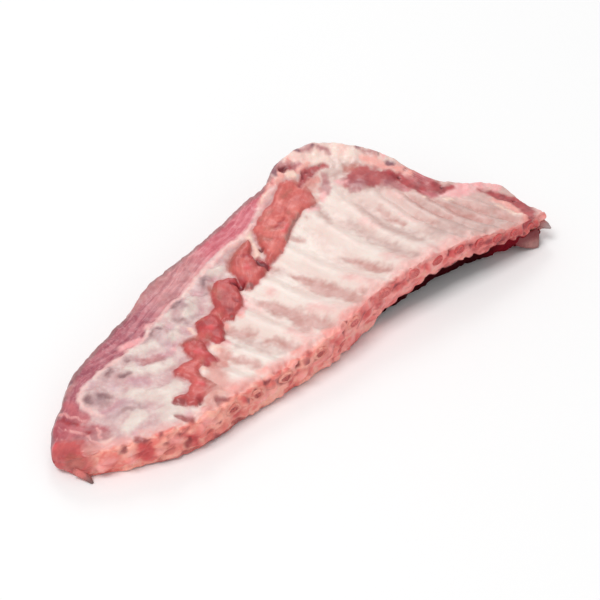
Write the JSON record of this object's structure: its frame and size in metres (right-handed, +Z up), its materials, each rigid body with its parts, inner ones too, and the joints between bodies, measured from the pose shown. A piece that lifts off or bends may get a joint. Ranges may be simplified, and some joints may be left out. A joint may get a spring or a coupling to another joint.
{
  "type": "rack of raw pork ribs",
  "caption": "Whole raw slab of pork spareribs lying bone side up, a shallow trough with sawn rib ends along one long edge.",
  "frame": {"origin": "on the table, under the middle of the rack's bounding box", "axes": "+X along the rack from the brisket end to the flank end, +Y across it from the sawn edge to the belly edge, +Z up, out of the bone side"},
  "size_m": [0.4856, 0.2214, 0.0543],
  "materials": {
    "meat": "moist raw meat, membrane and fat",
    "bone": "moist sawn rib bone with red marrow"
  },
  "bodies": {
    "root": {"meat": "meat", "rib_01": "bone", "rib_02": "bone", "rib_03": "bone", "rib_04": "bone", "rib_05": "bone", "rib_06": "bone", "rib_07": "bone", "rib_08": "bone", "rib_09": "bone", "rib_10": "bone", "rib_11": "bone", "rib_12": "bone", "rib_13": "bone"}
  },
  "joints": []
}
